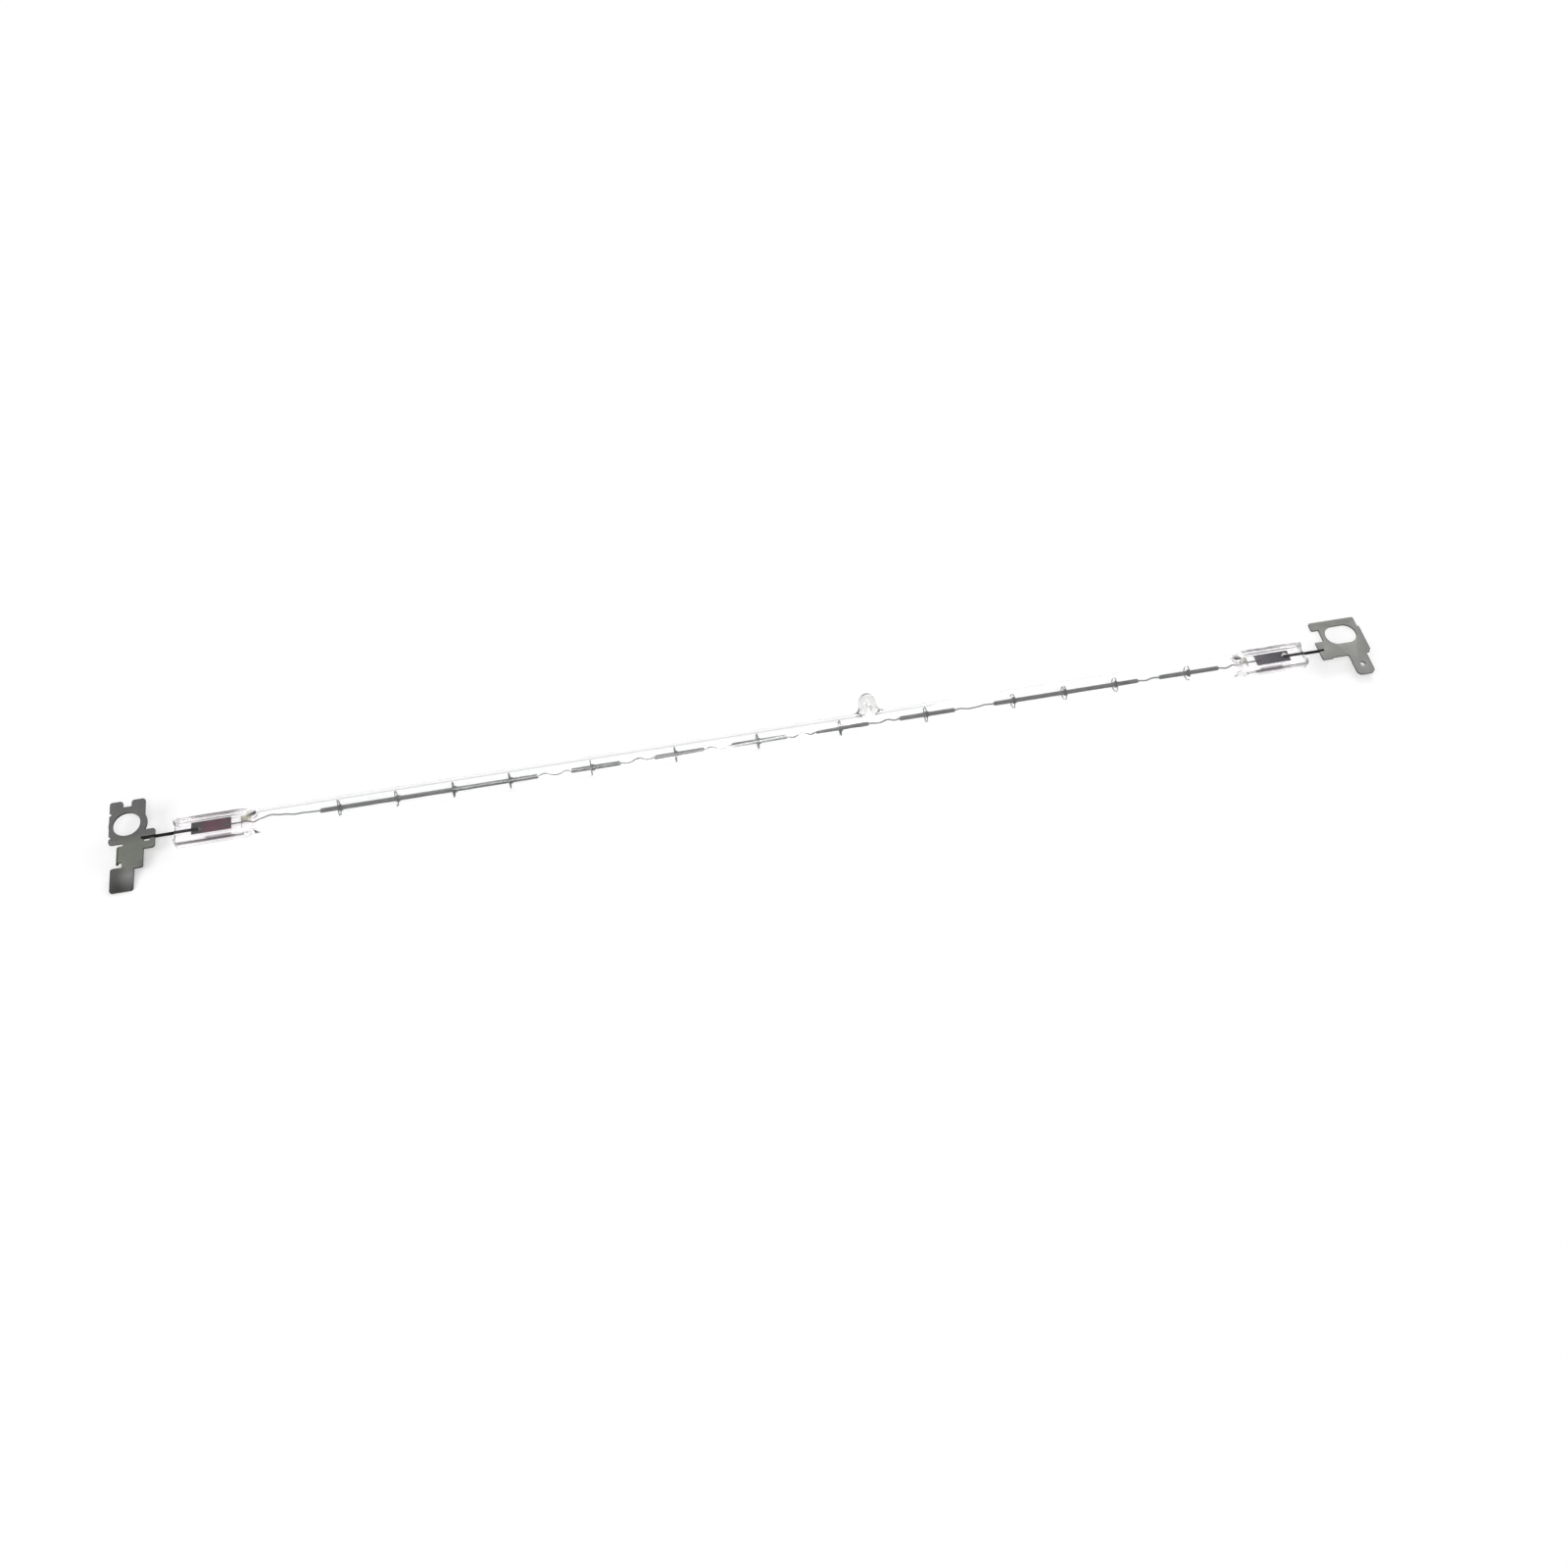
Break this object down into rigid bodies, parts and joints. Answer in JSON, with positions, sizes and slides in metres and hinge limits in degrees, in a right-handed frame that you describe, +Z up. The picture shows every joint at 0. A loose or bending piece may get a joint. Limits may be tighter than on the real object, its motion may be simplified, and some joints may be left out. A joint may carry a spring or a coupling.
{
  "type": "fuser heater lamp",
  "caption": "Clear quartz halogen heater lamp for a printer fuser: coiled filament on wire supports, pinch seals and a flat stamped terminal at each end.",
  "frame": {"origin": "on the surface that the lamp lies on, below the middle of its box", "axes": "+X along the tube from the left terminal to the right one, +Y across it, +Z up; the lamp lies on its tube and on the tip of the left contact blade"},
  "size_m": [0.3158, 0.024, 0.009],
  "materials": {
    "quartz": "clear fire-polished quartz",
    "tungsten": "dark grey drawn tungsten wire",
    "support_wire": "grey drawn tungsten wire",
    "foil": "dark oxidised molybdenum foil",
    "lead_wire": "blackened molybdenum wire",
    "left_plating": "satin dark plated steel sheet",
    "right_plating": "satin grey plated steel sheet"
  },
  "bodies": {
    "root": {"quartz_envelope": "quartz", "filament": "tungsten", "filament_support_01": "support_wire", "filament_support_02": "support_wire", "filament_support_03": "support_wire", "filament_support_04": "support_wire", "filament_support_05": "support_wire", "filament_support_06": "support_wire", "filament_support_07": "support_wire", "filament_support_08": "support_wire", "filament_support_09": "support_wire", "filament_support_10": "support_wire", "filament_support_11": "support_wire", "filament_support_12": "support_wire", "filament_support_13": "support_wire", "left_foil": "foil", "right_foil": "foil", "left_lead": "lead_wire", "right_lead": "lead_wire", "left_terminal": "left_plating", "right_terminal": "right_plating"}
  },
  "joints": []
}
